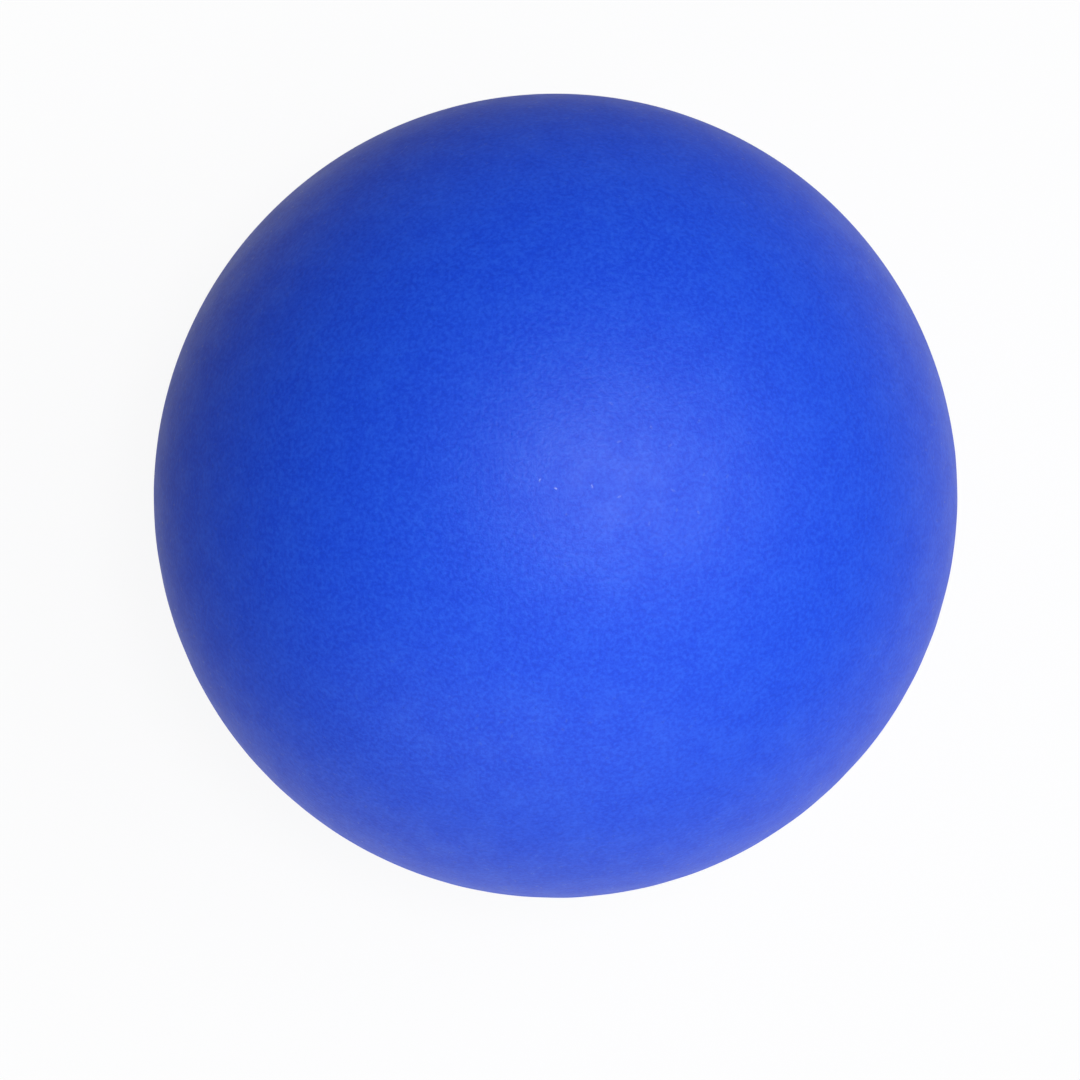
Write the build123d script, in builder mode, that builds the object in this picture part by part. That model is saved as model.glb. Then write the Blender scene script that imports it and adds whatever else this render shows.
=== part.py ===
"""Lacrosse ball of solid rubber, moulded in two stages.

A round core is pressed and cured first. Two half shells of coloured cover rubber are then cured
round it. They meet at the mould's parting plane, where a low bead is left once the flash has been
trimmed off.

The ball lies as it does in its mould. The origin is its centre, the mould opens along +Z, and the
parting plane is XY, with the upper cover above it and the lower cover below.
"""

import os

from build123d import *

# Driving dimensions, in millimetres
BALL_DIAMETER = 63.5  # over the cover, clear of the bead
COVER_THICKNESS = 4.0  # cover rubber over the core
CEMENT_FILM = 0.05  # rubber cement between the core and the cover
BEAD_HEIGHT = 0.12  # how far the trimmed flash stands out of the ball
BEAD_CROWN_RADIUS = 1.0  # rounding over the top of the bead
BEAD_FOOT_RADIUS = 1.0  # hollow where the bead runs out into the ball

# Sizes that follow from them
ball_radius = BALL_DIAMETER / 2
cover_inner_radius = ball_radius - COVER_THICKNESS
core_radius = cover_inner_radius - CEMENT_FILM
bead_top = ball_radius + BEAD_HEIGHT
bead_centre = bead_top - BEAD_CROWN_RADIUS

# Core: one solid round pressing
with BuildPart() as rubber_core:
    Sphere(core_radius)
rubber_core.part.label = "rubber_core"

# Upper cover: a quarter section through the shell, turned about the mould's axis
with BuildPart() as upper_cover:
    with BuildSketch(Plane.XZ) as section:
        Circle(ball_radius)
        with Locations((bead_centre, 0)):
            Circle(BEAD_CROWN_RADIUS)
        Circle(cover_inner_radius, mode=Mode.SUBTRACT)
        Rectangle(bead_top, bead_top, align=Align.MIN, mode=Mode.INTERSECT)
        # The rim's two corners are the lowest, and the foot of the bead comes next
        bead_foot = section.vertices().sort_by(Axis.Y)[2]
        fillet(bead_foot, BEAD_FOOT_RADIUS)
    revolve(axis=Axis.Z)
upper_cover.part.label = "upper_cover"

# Lower cover: the same shell from the mould's other half
with BuildPart() as lower_cover:
    mirror(upper_cover.part, about=Plane.XY)
lower_cover.part.label = "lower_cover"

os.makedirs("parts", exist_ok=True)
export_step(rubber_core.part, "parts/rubber_core.step")
export_step(upper_cover.part, "parts/upper_cover.step")
export_step(lower_cover.part, "parts/lower_cover.step")
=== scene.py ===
"""Lacrosse ball of moulded rubber: two half shells cured round a core, on a plain pale stage.

The half shells are meshes with the parting bead that the mould leaves round the ball. Both rubbers get their
finish from shared node groups. Lengths are in metres, the ball's centre is the origin and the mould opened
along +Z, so the parting plane is XY.
"""

import math

import bmesh
import bpy
from bpy.props import FloatProperty, FloatVectorProperty, IntProperty, PointerProperty
from bpy.types import Operator, Panel, PropertyGroup
from mathutils import Matrix, Vector, noise


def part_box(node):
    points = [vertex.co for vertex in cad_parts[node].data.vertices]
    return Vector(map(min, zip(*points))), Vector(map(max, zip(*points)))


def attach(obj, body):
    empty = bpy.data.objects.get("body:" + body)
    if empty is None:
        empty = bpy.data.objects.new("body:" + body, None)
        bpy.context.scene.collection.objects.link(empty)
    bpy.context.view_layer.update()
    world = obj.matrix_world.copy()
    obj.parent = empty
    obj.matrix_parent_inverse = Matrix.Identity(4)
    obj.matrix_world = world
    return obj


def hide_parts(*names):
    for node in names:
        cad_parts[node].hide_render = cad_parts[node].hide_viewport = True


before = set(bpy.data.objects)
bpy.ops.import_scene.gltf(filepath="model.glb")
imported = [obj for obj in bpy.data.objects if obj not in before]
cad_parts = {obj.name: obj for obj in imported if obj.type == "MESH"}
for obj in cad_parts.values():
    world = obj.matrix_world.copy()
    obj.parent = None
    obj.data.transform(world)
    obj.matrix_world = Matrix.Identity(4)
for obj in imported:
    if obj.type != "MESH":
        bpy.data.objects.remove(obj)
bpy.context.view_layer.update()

bl_info = {
    "name": "Lacrosse Ball",
    "version": (1, 0, 0),
    "blender": (4, 5, 0),
    "location": "3D View > Sidebar > Ball",
    "description": "Moulded rubber ball with a parting bead, and a plain stage to show it on",
    "category": "Object",
}

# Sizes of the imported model
COVER_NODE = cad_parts["upper_cover"]
BALL_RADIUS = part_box("upper_cover")[1].z
BEAD_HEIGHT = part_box("upper_cover")[1].x - BALL_RADIUS
BORE_RADIUS = min(vertex.co.length for vertex in COVER_NODE.data.vertices)

# Where the ball lies in the picture, in pixels of a square frame
FRAME_SIDE_PX = 1080
BALL_RADIUS_PX = 401.7
BALL_RIGHT_PX = 15.5
BALL_UP_PX = 44.5

# Map of a half shell: the outside fills a disc, and the bore and the rim take a corner each
BAKE_MAP = "OFBake"
OUTSIDE_MAP_RADIUS = 0.485
CORNER_MAP_RADIUS = 0.08
CORNER_MAP_CENTRE = 0.087

# Angle round the ball at which the edge of a cap's grid starts
EDGE_START = -0.75 * math.pi

# Nearly all values of a noise texture lie between these
NOISE_LOW = 0.3
NOISE_HIGH = 0.7


class BallCoverSettings(PropertyGroup):
    """Sizes and colours of the two cover halves."""

    divisions: IntProperty(
        name="Divisions",
        description="Faces across the outside of a half shell, four times those across its bore",
        default=160,
        min=16,
        max=200,
        step=4,
    )
    bead_crown_radius: FloatProperty(
        name="Bead Crown Radius",
        description="Rounding over the top of the parting bead",
        default=0.001,
        min=0.0002,
        subtype="DISTANCE",
        unit="LENGTH",
    )
    bead_foot_radius: FloatProperty(
        name="Bead Foot Radius",
        description="Hollow where the parting bead runs out into the ball",
        default=0.001,
        min=0.0002,
        subtype="DISTANCE",
        unit="LENGTH",
    )
    bead_wear: FloatProperty(
        name="Bead Wear",
        description="Share of the bead's height that trimming takes off at its lowest places",
        default=0.55,
        min=0.0,
        max=0.9,
        subtype="FACTOR",
    )
    wave_length: FloatProperty(
        name="Wave Length",
        description="Distance between the shallow waves that polishing left in the mould",
        default=0.009,
        min=0.002,
        subtype="DISTANCE",
        unit="LENGTH",
    )
    wave_depth: FloatProperty(
        name="Wave Depth",
        description="Depth of the shallow waves in the surface",
        default=0.000012,
        min=0.0,
        precision=6,
        subtype="DISTANCE",
        unit="LENGTH",
    )
    colour: FloatVectorProperty(
        name="Colour",
        description="Pigment of the cover rubber",
        default=(0.0, 0.067, 0.84),
        size=3,
        min=0.0,
        max=1.0,
        subtype="COLOR",
    )
    # Partly real bloom and scuffs, partly a painted pale sheen on the tops of the pebbles.
    bloom_and_sheen_colour: FloatVectorProperty(
        name="Bloom Colour",
        description="Pale film that rubbing brings up on the rubber",
        default=(0.07, 0.27, 0.62),
        size=3,
        min=0.0,
        max=1.0,
        subtype="COLOR",
    )
    roughness: FloatProperty(
        name="Roughness",
        description="How matt the moulded skin is",
        default=0.57,
        min=0.0,
        max=1.0,
        subtype="FACTOR",
    )
    grain_pitch: FloatProperty(
        name="Grain Pitch",
        description="Distance between the pebbles of the moulded skin",
        default=0.00032,
        min=0.0001,
        precision=5,
        subtype="DISTANCE",
        unit="LENGTH",
    )
    grain_depth: FloatProperty(
        name="Grain Depth",
        description="Depth between the pebbles of the moulded skin",
        default=0.000035,
        min=0.0,
        precision=6,
        subtype="DISTANCE",
        unit="LENGTH",
    )
    # Painted shade and light: the grain darkens the gaps between the pebbles and lightens their tops.
    grain_painted_shade: FloatProperty(
        name="Grain Contrast",
        description="How much lighter the tops of the pebbles are, and how much darker the gaps",
        default=0.10,
        min=0.0,
        max=1.0,
        subtype="FACTOR",
    )
    # Painted sheen: the pale film on the tops of the pebbles stands in for their highlights.
    grain_painted_sheen: FloatProperty(
        name="Grain Film",
        description="Share of the pale film on the tops of the pebbles",
        default=0.15,
        min=0.0,
        max=1.0,
        subtype="FACTOR",
    )
    cloud_size: FloatProperty(
        name="Cloud Size",
        description="Width of the faint patches in the colour",
        default=0.0028,
        min=0.0005,
        precision=4,
        subtype="DISTANCE",
        unit="LENGTH",
    )
    cloud_contrast: FloatProperty(
        name="Cloud Contrast",
        description="How much lighter or darker the faint patches are",
        default=0.03,
        min=0.0,
        max=1.0,
        subtype="FACTOR",
    )
    cloud_film: FloatProperty(
        name="Cloud Film",
        description="Share of the pale film on the lightest patches",
        default=0.05,
        min=0.0,
        max=1.0,
        subtype="FACTOR",
    )
    speck_film: FloatProperty(
        name="Speck Film",
        description="Share of the pale film on the few rubbed specks",
        default=0.08,
        min=0.0,
        max=1.0,
        subtype="FACTOR",
    )
    speck_roughness: FloatProperty(
        name="Speck Roughness",
        description="How matt the rubbed specks are, as a share of the skin's roughness",
        default=0.40,
        min=0.0,
        max=1.0,
        subtype="FACTOR",
    )


class BallCoreSettings(PropertyGroup):
    """Sizes and colours of the core, which is inside the cover."""

    colour: FloatVectorProperty(
        name="Colour",
        description="Natural tan of the core rubber",
        default=(0.42, 0.33, 0.21),
        size=3,
        min=0.0,
        max=1.0,
        subtype="COLOR",
    )
    buffed_colour: FloatVectorProperty(
        name="Buffed Colour",
        description="Paler rubber that buffing lays open for the cement",
        default=(0.58, 0.48, 0.34),
        size=3,
        min=0.0,
        max=1.0,
        subtype="COLOR",
    )
    roughness: FloatProperty(
        name="Roughness",
        description="How matt the buffed surface is",
        default=0.82,
        min=0.0,
        max=1.0,
        subtype="FACTOR",
    )
    grain_pitch: FloatProperty(
        name="Grain Pitch",
        description="Distance between the crumbs of the buffed surface",
        default=0.0007,
        min=0.0001,
        precision=5,
        subtype="DISTANCE",
        unit="LENGTH",
    )
    grain_depth: FloatProperty(
        name="Grain Depth",
        description="Depth between the crumbs of the buffed surface",
        default=0.00005,
        min=0.0,
        precision=6,
        subtype="DISTANCE",
        unit="LENGTH",
    )
    cloud_size: FloatProperty(
        name="Cloud Size",
        description="Width of the patches in the colour",
        default=0.007,
        min=0.0005,
        precision=4,
        subtype="DISTANCE",
        unit="LENGTH",
    )


class BallStageSettings(PropertyGroup):
    """Camera, floor and lamps."""

    camera_distance: FloatProperty(
        name="Camera Distance",
        description="From the ball's centre to the lens",
        default=0.45,
        min=0.1,
        subtype="DISTANCE",
        unit="LENGTH",
    )
    camera_elevation: FloatProperty(
        name="Camera Elevation",
        description="Angle of the view above the floor",
        default=math.radians(88),
        min=0.0,
        max=math.radians(90),
        subtype="ANGLE",
        unit="ROTATION",
    )
    floor_colour: FloatVectorProperty(
        name="Floor Colour",
        description="White square of the floor that the ball lies on",
        default=(0.9, 0.9, 0.9),
        size=3,
        min=0.0,
        max=1.0,
        subtype="COLOR",
    )
    surround_colour: FloatVectorProperty(
        name="Surround Colour",
        description="Pale rest of the floor, and the wall that it curves up into",
        default=(0.34, 0.345, 0.36),
        size=3,
        min=0.0,
        max=1.0,
        subtype="COLOR",
    )
    square_centre: FloatVectorProperty(
        name="Square Centre",
        description="Middle of the white square",
        default=(0.021, -0.025),
        size=2,
        subtype="XYZ",
        unit="LENGTH",
    )
    square_reach: FloatProperty(
        name="Square Reach",
        description="From the middle of the white square to its sides",
        default=0.07,
        min=0.0,
        subtype="DISTANCE",
        unit="LENGTH",
    )
    square_fade: FloatProperty(
        name="Square Fade",
        description="Width of the soft edge of the white square",
        default=0.022,
        min=0.001,
        subtype="DISTANCE",
        unit="LENGTH",
    )
    floor_whiteness: FloatProperty(
        name="Floor Whiteness",
        description="How far the floor is lifted to its own plain colour where it is seen directly",
        default=0.92,
        min=0.0,
        max=1.0,
        subtype="FACTOR",
    )
    contact_reach: FloatProperty(
        name="Contact Reach",
        description="How far from the contact point the floor is left to the ball's shadow",
        default=0.028,
        min=0.001,
        subtype="DISTANCE",
        unit="LENGTH",
    )
    room_light: FloatProperty(
        name="Room Light",
        description="Even light from all round",
        default=0.10,
        min=0.0,
    )
    room_colour: FloatVectorProperty(
        name="Room Colour",
        description="Cool tint of the light from all round",
        default=(0.35, 0.55, 1.0),
        size=3,
        min=0.0,
        max=1.0,
        subtype="COLOR",
    )
    key_power: FloatProperty(
        name="Key Power",
        description="Soft lamp over the ball",
        default=5.5,
        min=0.0,
        subtype="POWER",
        unit="POWER",
    )
    front_power: FloatProperty(
        name="Front Power",
        description="Broad low lamp on the near side",
        default=4.5,
        min=0.0,
        subtype="POWER",
        unit="POWER",
    )
    lens_power: FloatProperty(
        name="Lens Power",
        description="Small lamp beside the lens",
        default=4.1,
        min=0.0,
        subtype="POWER",
        unit="POWER",
    )


class BeadProfile:
    """Section of the parting bead: a rounded crown that runs out into the ball by a hollow foot."""

    def __init__(self, settings):
        self.crown_bend = 0.5 * (1 / settings.bead_crown_radius - 1 / BALL_RADIUS)
        self.foot_bend = 0.5 * (1 / settings.bead_foot_radius + 1 / BALL_RADIUS)
        self.spread = 1 + self.crown_bend / self.foot_bend
        self.wear = settings.bead_wear

    def height(self, turn):
        """Height of the crown at an angle round the ball, full in places and trimmed lower in others."""
        spot = Vector((math.cos(turn), math.sin(turn), 0))
        trimmed = 0.5 + 0.45 * noise.noise(3 * spot) + 0.35 * noise.noise(14 * spot)
        return BEAD_HEIGHT * (1 - self.wear * min(max(trimmed, 0), 1))

    def rise(self, turn, reach):
        """How far the bead stands out of the ball, reach being the distance from the parting plane."""
        height = self.height(turn)
        crown_reach = math.sqrt(height / (self.crown_bend * self.spread))
        if reach < crown_reach:
            return height - self.crown_bend * reach**2
        return self.foot_bend * max(self.spread * crown_reach - reach, 0) ** 2

    def widest(self):
        """Reach of a bead of full height."""
        return math.sqrt(BEAD_HEIGHT * self.spread / self.crown_bend)


def pole_direction(tilt, turn, side):
    """Unit vector tilted away from the pole on that side of the parting plane, and turned round it."""
    return Vector((math.sin(tilt) * math.cos(turn), math.sin(tilt) * math.sin(turn), side * math.cos(tilt)))


def disc_point(across, along):
    """A square's point, each of its numbers from -1 to 1, carried to a disc as a radius and an angle."""
    if across == along == 0:
        return 0, 0
    if abs(across) > abs(along):
        return across, math.pi / 4 * along / across
    return along, math.pi / 2 - math.pi / 4 * across / along


def add_cap(bm, divisions, widest, place):
    """A grid of four-sided faces over a cap of the ball. Returns the vertices of its edge in order."""
    grid = []
    for row in range(divisions + 1):
        grid.append([])
        for column in range(divisions + 1):
            radius, turn = disc_point(2 * column / divisions - 1, 2 * row / divisions - 1)
            tilt = 2 * math.asin(radius * math.sin(widest / 2))
            grid[-1].append(bm.verts.new(place(tilt, turn)))
    for low, high in zip(grid, grid[1:]):
        for i in range(divisions):
            bm.faces.new((low[i], low[i + 1], high[i + 1], high[i]))
    right = [row[-1] for row in grid]
    left = [row[0] for row in reversed(grid)]
    return grid[0][:-1] + right[:-1] + grid[-1][:0:-1] + left[:-1]


def add_ring(bm, inner, place, tilt):
    """A ring of vertices at that tilt, joined to the ring before it."""
    count = len(inner)
    ring = [bm.verts.new(place(tilt, EDGE_START + math.tau * k / count)) for k in range(count)]
    for k in range(count):
        after = (k + 1) % count
        bm.faces.new((inner[k], inner[after], ring[after], ring[k]))
    return ring


def close_rim(bm, outer, inner):
    """The flat rim between the outside's edge and the bore's edge, which has fewer vertices."""
    step = len(outer) // len(inner)
    for k, vertex in enumerate(inner):
        arc = [outer[(k * step + j) % len(outer)] for j in range(step + 1)]
        bm.faces.new((vertex, *arc, inner[(k + 1) % len(inner)]))


def lay_out(bm):
    """The flat map: the outside over the whole square, the bore and the rim each in a corner."""
    layer = bm.loops.layers.uv.new(BAKE_MAP)
    far_corner = 1 - CORNER_MAP_CENTRE
    for face in bm.faces:
        facing = face.normal.dot(face.calc_center_median().normalized())
        for loop in face.loops:
            spot = loop.vert.co
            flat = spot.xy.normalized()
            tilt = math.atan2(spot.xy.length, abs(spot.z))
            spread = math.sin(tilt / 2) / math.sin(math.pi / 4)
            if facing > 0.5:
                place = Vector((0.5, 0.5)) + OUTSIDE_MAP_RADIUS * spread * flat
            elif facing < -0.5:
                place = Vector((CORNER_MAP_CENTRE, CORNER_MAP_CENTRE)) + CORNER_MAP_RADIUS * spread * flat
            else:
                share = spot.xy.length / (BALL_RADIUS + BEAD_HEIGHT)
                place = Vector((far_corner, far_corner)) + CORNER_MAP_RADIUS * share * flat
            loop[layer].uv = place


def half_shell(name, side, settings):
    """One closed half of the cover. The side is 1 for the half above the parting plane and -1 below it."""
    bead = BeadProfile(settings)
    wave = BALL_RADIUS / settings.wave_length

    def outside(tilt, turn):
        direction = pole_direction(tilt, turn, side)
        swell = 0.75 * noise.noise(wave * direction) + 0.25 * noise.noise(3 * wave * direction)
        reach = BALL_RADIUS * (math.pi / 2 - abs(tilt))
        return direction * (BALL_RADIUS + settings.wave_depth * swell + bead.rise(turn, reach))

    def bore(tilt, turn):
        return BORE_RADIUS * pole_direction(tilt, turn, side)

    bm = bmesh.new()
    face_side = BALL_RADIUS * math.sqrt(math.tau) / settings.divisions
    band = bead.widest() + 1.5 * face_side
    rings = 12
    edge = add_cap(bm, settings.divisions, math.pi / 2 - band / BALL_RADIUS, outside)
    for k in range(rings):
        reach = band * (1 - (k + 1) / rings) ** 1.3
        edge = add_ring(bm, edge, outside, math.pi / 2 - reach / BALL_RADIUS)
    bore_edge = add_cap(bm, settings.divisions // 4, math.pi / 2, bore)
    close_rim(bm, edge, bore_edge)
    bmesh.ops.recalc_face_normals(bm, faces=bm.faces)
    for face in bm.faces:
        face.smooth = True
    for line in bm.edges:
        line.smooth = line.calc_face_angle() < math.radians(50)
    lay_out(bm)
    mesh = bpy.data.meshes.new(name)
    bm.to_mesh(mesh)
    bm.free()
    shell = bpy.data.objects.new(name, mesh)
    bpy.context.scene.collection.objects.link(shell)
    return shell


def add_node(tree, kind, inputs, **settings):
    """A node with its settings made, and each input set to a value or linked to another node's output."""
    node = tree.nodes.new(kind)
    for name, value in settings.items():
        setattr(node, name, value)
    for socket, value in inputs.items():
        if isinstance(value, bpy.types.NodeSocket):
            tree.links.new(value, node.inputs[socket])
        else:
            node.inputs[socket].default_value = value
    return node


def calculate(tree, operation, *values):
    """A sum of one or two numbers or outputs."""
    return add_node(tree, "ShaderNodeMath", dict(enumerate(values)), operation=operation).outputs[0]


def combine(tree, operation, *values):
    """A vector sum of one or two vectors or outputs."""
    node = add_node(tree, "ShaderNodeVectorMath", dict(enumerate(values)), operation=operation)
    return node.outputs["Value" if operation in {"DISTANCE", "DOT_PRODUCT", "LENGTH"} else "Vector"]


def scale(tree, vector, factor):
    """A vector made longer or shorter by a factor."""
    return add_node(tree, "ShaderNodeVectorMath", {0: vector, "Scale": factor}, operation="SCALE").outputs["Vector"]


def between(tree, value, low, high, start, end, smooth=False):
    """A value carried from the range low to high onto the range start to end."""
    inputs = {"Value": value, "From Min": low, "From Max": high, "To Min": start, "To Max": end}
    kind = "SMOOTHSTEP" if smooth else "LINEAR"
    return add_node(tree, "ShaderNodeMapRange", inputs, interpolation_type=kind).outputs["Result"]


def blend(tree, factor, start, end):
    """A colour between two others."""
    inputs = {"Factor": factor, "A": start, "B": end}
    return add_node(tree, "ShaderNodeMix", inputs, data_type="RGBA").outputs["Result"]


def shade(tree, colour, value):
    """A colour made darker or lighter by a value about one."""
    return add_node(tree, "ShaderNodeHueSaturation", {"Color": (*colour, 1), "Value": value}).outputs["Color"]


def new_group(name, inputs, outputs):
    """An empty node group with its sockets, and the nodes that stand for its inputs and outputs."""
    tree = bpy.data.node_groups.new(name, "ShaderNodeTree")
    for label, kind, default in inputs:
        socket = tree.interface.new_socket(label, in_out="INPUT", socket_type=kind)
        if default is not None:
            socket.default_value = default
    for label in outputs:
        tree.interface.new_socket(label, in_out="OUTPUT", socket_type="NodeSocketFloat")
    return tree, tree.nodes.new("NodeGroupInput").outputs, tree.nodes.new("NodeGroupOutput").inputs


def skin_grain_group():
    """Height of the fine uneven grain that a blasted mould leaves in the skin of rubber."""
    tree, given, result = new_group(
        "Skin Grain",
        [("Position", "NodeSocketVector", None), ("Pitch", "NodeSocketFloat", 0.0004)],
        ["Height"],
    )
    fineness = calculate(tree, "DIVIDE", 1.0, given["Pitch"])
    grain = add_node(
        tree,
        "ShaderNodeTexNoise",
        {"Vector": given["Position"], "Scale": fineness, "Detail": 2.0, "Roughness": 0.65},
    ).outputs["Fac"]
    tree.links.new(grain, result["Height"])
    return tree


def rubber_cloud_group():
    """Faint patches that uneven mixing and curing leave in rubber, as a tone about one half."""
    tree, given, result = new_group(
        "Rubber Cloud",
        [("Position", "NodeSocketVector", None), ("Patch Size", "NodeSocketFloat", 0.003)],
        ["Tone"],
    )
    fineness = calculate(tree, "DIVIDE", 1.0, given["Patch Size"])
    cloud = add_node(
        tree,
        "ShaderNodeTexNoise",
        {"Vector": given["Position"], "Scale": fineness, "Detail": 3.0, "Roughness": 0.55},
    ).outputs["Fac"]
    tree.links.new(cloud, result["Tone"])
    return tree


def rub_mark_group():
    """Short straight rub marks lying along a ball's surface, each in its own direction."""
    tree, given, result = new_group(
        "Rub Marks",
        [
            ("Position", "NodeSocketVector", None),
            ("Spacing", "NodeSocketFloat", 0.005),
            ("Length", "NodeSocketFloat", 0.001),
            ("Width", "NodeSocketFloat", 0.0001),
            ("Share", "NodeSocketFloat", 0.2),
        ],
        ["Marks"],
    )
    cells = add_node(
        tree,
        "ShaderNodeTexVoronoi",
        {"Vector": given["Position"], "Scale": calculate(tree, "DIVIDE", 1.0, given["Spacing"])},
    ).outputs
    outward = combine(tree, "NORMALIZE", given["Position"])

    def flattened(vector):
        lift = combine(tree, "DOT_PRODUCT", vector, outward)
        return combine(tree, "SUBTRACT", vector, scale(tree, outward, lift))

    offset = flattened(combine(tree, "SUBTRACT", given["Position"], cells["Position"]))
    random = combine(tree, "SUBTRACT", cells["Color"], (0.5, 0.5, 0.5))
    heading = combine(tree, "NORMALIZE", flattened(random))
    along = combine(tree, "DOT_PRODUCT", offset, heading)
    aside = combine(tree, "LENGTH", combine(tree, "SUBTRACT", offset, scale(tree, heading, along)))
    half_length = calculate(tree, "MULTIPLY", given["Length"], 0.5)
    half_width = calculate(tree, "MULTIPLY", given["Width"], 0.5)
    lengthwise = between(tree, calculate(tree, "ABSOLUTE", along), 0.0, half_length, 1.0, 0.0, smooth=True)
    crosswise = between(tree, aside, 0.0, half_width, 1.0, 0.0, smooth=True)
    chance = add_node(tree, "ShaderNodeSeparateColor", {"Color": cells["Color"]}).outputs["Red"]
    chosen = calculate(tree, "LESS_THAN", chance, given["Share"])
    mark = calculate(tree, "MULTIPLY", calculate(tree, "MULTIPLY", lengthwise, crosswise), chosen)
    tree.links.new(mark, result["Marks"])
    return tree


def shared_group(name):
    """The node group of that name, made the first time it is asked for."""
    makers = {"Skin Grain": skin_grain_group, "Rubber Cloud": rubber_cloud_group, "Rub Marks": rub_mark_group}
    return bpy.data.node_groups.get(name) or makers[name]()


def use_group(tree, name, inputs):
    """A shared node group placed in a material. Returns its outputs."""
    return add_node(tree, "ShaderNodeGroup", inputs, node_tree=shared_group(name)).outputs


def new_material(name):
    """A material with its own nodes: the tree, its shader and the position on the object."""
    material = bpy.data.materials.new(name)
    material.use_nodes = True
    tree = material.node_tree
    position = tree.nodes.new("ShaderNodeTexCoord").outputs["Object"]
    return material, tree, tree.nodes["Principled BSDF"], position


def cover_rubber(settings):
    """Matt coloured rubber with a fine grain, faint clouding and a few specks that rubbing has polished. The
    grain's colour holds painted shade in its gaps, and painted light and a pale painted sheen on its tops.
    """
    material, tree, shader, position = new_material("moulded_cover_rubber")
    grain = use_group(tree, "Skin Grain", {"Position": position, "Pitch": settings.grain_pitch})["Height"]
    cloud = use_group(tree, "Rubber Cloud", {"Position": position, "Patch Size": settings.cloud_size})["Tone"]
    specks = use_group(
        tree,
        "Rub Marks",
        {"Position": position, "Spacing": 0.002, "Length": 0.0005, "Width": 0.0002, "Share": 0.45},
    )["Marks"]

    def about_one(pattern, contrast):
        return between(tree, pattern, NOISE_LOW, NOISE_HIGH, 1 - contrast, 1 + contrast)

    def film_and_sheen_above(pattern, low, share):
        return between(tree, pattern, low, NOISE_HIGH, 0.0, share)

    # The cloud is the rubber's own tone. The grain's part is painted shade in the pebble gaps and painted light on
    # their tops.
    value = calculate(
        tree, "MULTIPLY", about_one(cloud, settings.cloud_contrast), about_one(grain, settings.grain_painted_shade)
    )
    # Pale film on the lightest patches, and painted sheen on the tops of the pebbles.
    film_and_sheen = calculate(
        tree, "ADD", film_and_sheen_above(cloud, 0.42, settings.cloud_film), film_and_sheen_above(grain, 0.41, settings.grain_painted_sheen)
    )
    # Real bloom and scuffs, together with the painted sheen on the pebble tops, are mixed into the colour.
    bloom_and_sheen = calculate(tree, "ADD", film_and_sheen, calculate(tree, "MULTIPLY", specks, settings.speck_film))
    skin = blend(tree, bloom_and_sheen, shade(tree, settings.colour, value), (*settings.bloom_and_sheen_colour, 1))
    matt = between(tree, cloud, NOISE_LOW, NOISE_HIGH, settings.roughness + 0.03, settings.roughness - 0.03)
    polished = between(tree, specks, 0.0, 1.0, 1.0, settings.speck_roughness)
    bump = add_node(
        tree, "ShaderNodeBump", {"Height": grain, "Distance": settings.grain_depth, "Strength": 1.0}
    )
    tree.links.new(skin, shader.inputs["Base Color"])
    tree.links.new(calculate(tree, "MULTIPLY", matt, polished), shader.inputs["Roughness"])
    tree.links.new(bump.outputs["Normal"], shader.inputs["Normal"])
    shader.inputs["IOR"].default_value = 1.5
    return material


def core_rubber(settings):
    """Tan rubber buffed all over to take the cement."""
    material, tree, shader, position = new_material("buffed_core_rubber")
    grain = use_group(tree, "Skin Grain", {"Position": position, "Pitch": settings.grain_pitch})["Height"]
    cloud = use_group(tree, "Rubber Cloud", {"Position": position, "Patch Size": settings.cloud_size})["Tone"]
    scores = use_group(
        tree,
        "Rub Marks",
        {"Position": position, "Spacing": 0.0025, "Length": 0.0024, "Width": 0.00025, "Share": 0.9},
    )["Marks"]
    value = between(tree, cloud, NOISE_LOW, NOISE_HIGH, 0.88, 1.1)
    torn = calculate(tree, "MULTIPLY", scores, 0.6)
    buffed = blend(tree, torn, shade(tree, settings.colour, value), (*settings.buffed_colour, 1))
    matt = between(tree, grain, 0.4, 0.9, settings.roughness + 0.08, settings.roughness - 0.08)
    bump = add_node(
        tree, "ShaderNodeBump", {"Height": grain, "Distance": settings.grain_depth, "Strength": 1.0}
    )
    tree.links.new(buffed, shader.inputs["Base Color"])
    tree.links.new(matt, shader.inputs["Roughness"])
    tree.links.new(bump.outputs["Normal"], shader.inputs["Normal"])
    return material


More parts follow.
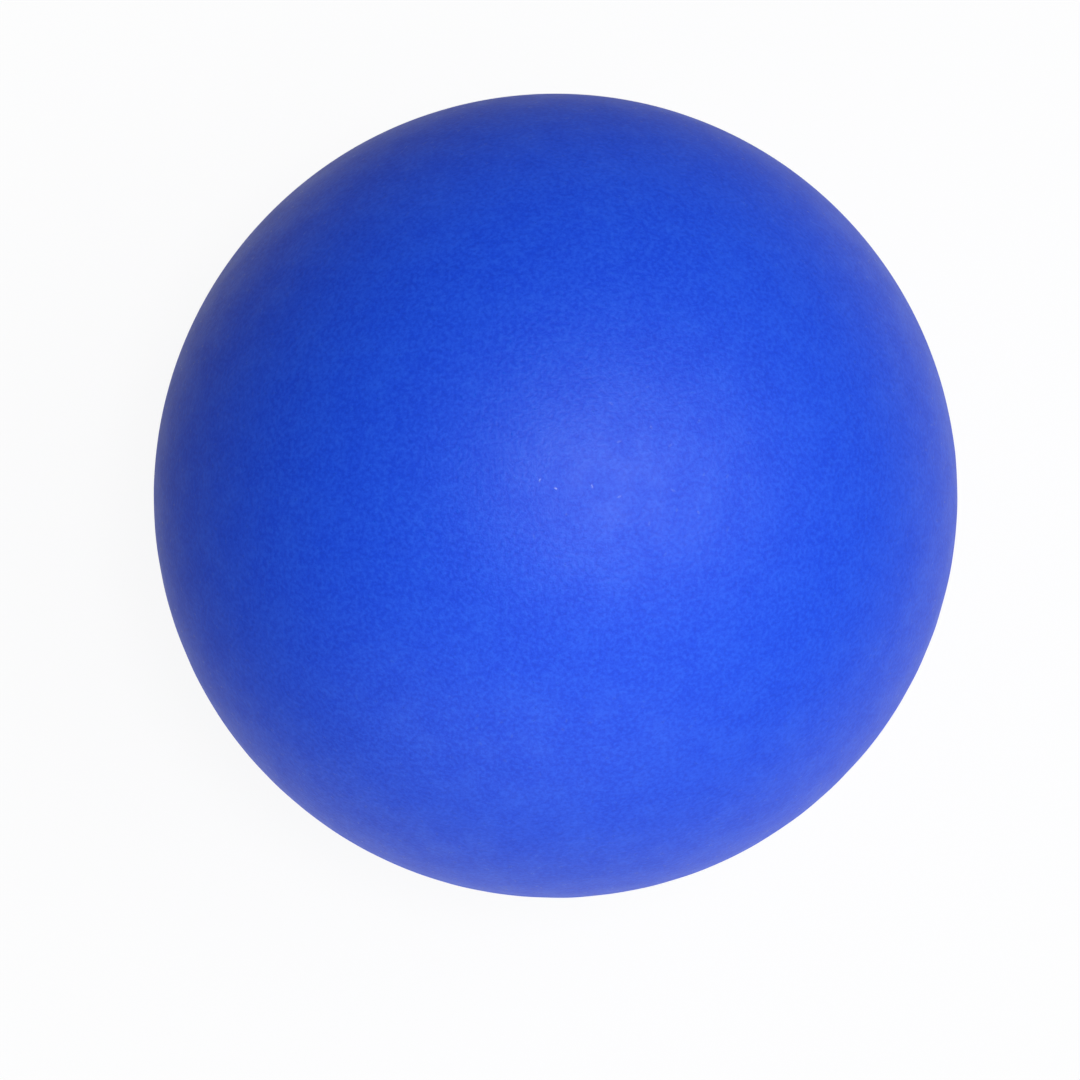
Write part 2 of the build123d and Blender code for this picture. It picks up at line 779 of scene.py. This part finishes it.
def sweep_material(settings):
    """Pale floor with a white square under the ball, lifted to its plain colour where it is seen directly."""
    material, tree, shader, position = new_material("white_sweep")
    offset = combine(tree, "ABSOLUTE", combine(tree, "SUBTRACT", position, (*settings.square_centre, 0)))
    sides = add_node(tree, "ShaderNodeSeparateXYZ", {0: offset}).outputs
    away = calculate(tree, "MAXIMUM", sides["X"], sides["Y"])
    fade_end = settings.square_reach + settings.square_fade
    near = between(tree, away, settings.square_reach, fade_end, 1.0, 0.0, smooth=True)
    pale = (*settings.surround_colour, 1)
    seen = tree.nodes.new("ShaderNodeLightPath").outputs
    direct = calculate(tree, "ADD", seen["Is Camera Ray"], seen["Is Glossy Ray"])
    direct = calculate(tree, "MINIMUM", calculate(tree, "ADD", direct, seen["Is Transmission Ray"]), 1.0)
    from_contact = combine(tree, "DISTANCE", position, (0, 0, -BALL_RADIUS))
    clear = between(tree, from_contact, 0.0, settings.contact_reach, 0.0, settings.floor_whiteness, smooth=True)
    lift = calculate(tree, "MULTIPLY", direct, clear)
    tree.links.new(blend(tree, near, pale, (*settings.floor_colour, 1)), shader.inputs["Base Color"])
    shader.inputs["Roughness"].default_value = 1.0
    shader.inputs["Specular IOR Level"].default_value = 0.0
    plain = add_node(tree, "ShaderNodeEmission", {"Color": blend(tree, near, pale, (1, 1, 1, 1)), "Strength": 1.0})
    mixed = add_node(
        tree, "ShaderNodeMixShader", {0: lift, 1: shader.outputs["BSDF"], 2: plain.outputs["Emission"]}
    )
    tree.links.new(mixed.outputs["Shader"], tree.nodes["Material Output"].inputs["Surface"])
    return material


def add_sweep(settings):
    """Round floor that curves up into a wall, so that no view meets an edge."""
    floor_reach, curve_radius, wall_height, count = 1.3, 0.5, 1.6, 96
    section = [(0.25 * floor_reach * k, 0) for k in range(1, 5)]
    for k in range(1, 13):
        bend = math.pi / 2 * k / 12
        section.append((floor_reach + curve_radius * math.sin(bend), curve_radius * (1 - math.cos(bend))))
    section.append((floor_reach + curve_radius, wall_height))
    bm = bmesh.new()
    middle = bm.verts.new((0, 0, -BALL_RADIUS))
    turns = [math.tau * k / count for k in range(count)]
    rings = []
    for radius, rise in section:
        spots = [(radius * math.cos(t), radius * math.sin(t), rise - BALL_RADIUS) for t in turns]
        rings.append([bm.verts.new(spot) for spot in spots])
    for k in range(count):
        after = (k + 1) % count
        bm.faces.new((middle, rings[0][k], rings[0][after]))
        for inner, outer in zip(rings, rings[1:]):
            bm.faces.new((inner[k], outer[k], outer[after], inner[after]))
    for face in bm.faces:
        face.smooth = True
    mesh = bpy.data.meshes.new("floor_sweep")
    bm.to_mesh(mesh)
    bm.free()
    sweep = bpy.data.objects.new("floor_sweep", mesh)
    bpy.context.scene.collection.objects.link(sweep)
    mesh.materials.append(sweep_material(settings))


def add_lamp(name, power, direction, width, height):
    """Soft lamp a metre from the ball in that direction, facing it, and not itself seen."""
    lamp = bpy.data.lights.new(name, "AREA")
    lamp.shape = "ELLIPSE"
    lamp.size = width
    lamp.size_y = height
    lamp.energy = power
    holder = bpy.data.objects.new(name, lamp)
    bpy.context.scene.collection.objects.link(holder)
    toward = Vector(direction).normalized()
    holder.location = toward
    holder.rotation_mode = "QUATERNION"
    holder.rotation_quaternion = toward.to_track_quat("Z", "Y")
    holder.visible_camera = False


def add_camera(settings):
    """Camera over the ball, aimed so that the ball lies in the frame as in the picture."""
    lens = bpy.data.cameras.new("photo_camera")
    camera = bpy.data.objects.new("photo_camera", lens)
    bpy.context.scene.collection.objects.link(camera)
    back = Vector((0, -math.cos(settings.camera_elevation), math.sin(settings.camera_elevation)))
    camera.location = back * settings.camera_distance
    outline_angle = math.asin(BALL_RADIUS / settings.camera_distance)
    focal_px = BALL_RADIUS_PX / math.tan(outline_angle)
    lens.sensor_width = 36.0
    lens.lens = focal_px / FRAME_SIDE_PX * lens.sensor_width
    per_px = settings.camera_distance / focal_px
    right = Vector((1, 0, 0))
    up = back.cross(right)
    aim = -per_px * (BALL_RIGHT_PX * right + BALL_UP_PX * up)
    # Tracking would roll a lens that looks almost straight down, so its axes are set one by one.
    z_axis = (camera.location - aim).normalized()
    x_axis = up.cross(z_axis).normalized()
    y_axis = z_axis.cross(x_axis)
    camera.rotation_mode = "QUATERNION"
    camera.rotation_quaternion = Matrix((x_axis, y_axis, z_axis)).transposed().to_quaternion()
    bpy.context.scene.camera = camera


class BALL_OT_mould_covers(Operator):
    """Make the two halves of the cover, with the bead at the parting plane"""

    bl_idname = "ball.mould_covers"
    bl_label = "Mould Covers"

    def execute(self, context):
        settings = context.scene.ball_covers
        if BEAD_HEIGHT <= 0:
            raise RuntimeError("the packed covers have no bead at the parting plane")
        if settings.divisions % 4:
            raise RuntimeError("the divisions of a half shell must be a multiple of four")
        rubber = cover_rubber(settings)
        for side, node in ((1, "upper_cover"), (-1, "lower_cover")):
            shell = half_shell(node + "_shell", side, settings)
            shell.data.materials.append(rubber)
            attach(shell, "root")
            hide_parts(node)
        return {"FINISHED"}


class BALL_OT_finish_core(Operator):
    """Give the core inside the cover its buffed rubber"""

    bl_idname = "ball.finish_core"
    bl_label = "Finish Core"

    def execute(self, context):
        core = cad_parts["rubber_core"]
        if not core.material_slots:
            raise RuntimeError("the packed core has no material slot")
        rubber = core_rubber(context.scene.ball_core)
        for slot in core.material_slots:
            slot.material = rubber
        return {"FINISHED"}


class BALL_OT_set_stage(Operator):
    """Make the floor, the lamps and the camera"""

    bl_idname = "ball.set_stage"
    bl_label = "Set Stage"

    def execute(self, context):
        settings = context.scene.ball_stage
        if settings.camera_distance <= BALL_RADIUS:
            raise RuntimeError("the camera is inside the ball")
        add_sweep(settings)
        add_lamp("key_lamp", settings.key_power, direction=(0.50, 0.04, 0.87), width=0.90, height=0.90)
        add_lamp("front_lamp", settings.front_power, direction=(-0.05, -0.97, 0.25), width=1.90, height=0.46)
        add_lamp("lens_lamp", settings.lens_power, direction=(0.11, 0.01, 0.99), width=0.20, height=0.20)
        world = bpy.data.worlds.new("room")
        world.use_nodes = True
        world.node_tree.nodes["Background"].inputs["Strength"].default_value = settings.room_light
        world.node_tree.nodes["Background"].inputs["Color"].default_value = (*settings.room_colour, 1)
        context.scene.world = world
        context.scene.view_settings.view_transform = "Standard"
        add_camera(settings)
        return {"FINISHED"}


class BALL_PT_steps(Panel):
    """Steps that make the ball, in order"""

    bl_idname = "BALL_PT_steps"
    bl_label = "Lacrosse Ball"
    bl_space_type = "VIEW_3D"
    bl_region_type = "UI"
    bl_category = "Ball"

    def draw(self, context):
        scene = context.scene
        for settings, operator in (
            (scene.ball_covers, BALL_OT_mould_covers),
            (scene.ball_core, BALL_OT_finish_core),
            (scene.ball_stage, BALL_OT_set_stage),
        ):
            box = self.layout.box()
            box.operator(operator.bl_idname)
            for name in settings.__annotations__:
                box.prop(settings, name)


CLASSES = (
    BallCoverSettings,
    BallCoreSettings,
    BallStageSettings,
    BALL_OT_mould_covers,
    BALL_OT_finish_core,
    BALL_OT_set_stage,
    BALL_PT_steps,
)


def register():
    for cls in CLASSES:
        bpy.utils.register_class(cls)
    bpy.types.Scene.ball_covers = PointerProperty(type=BallCoverSettings)
    bpy.types.Scene.ball_core = PointerProperty(type=BallCoreSettings)
    bpy.types.Scene.ball_stage = PointerProperty(type=BallStageSettings)


def unregister():
    del bpy.types.Scene.ball_stage
    del bpy.types.Scene.ball_core
    del bpy.types.Scene.ball_covers
    for cls in reversed(CLASSES):
        bpy.utils.unregister_class(cls)


def main():
    """Makes every piece and the stage."""
    register()
    bpy.ops.ball.mould_covers()
    bpy.ops.ball.finish_core()
    bpy.ops.ball.set_stage()


if __name__ == "__main__":
    main()
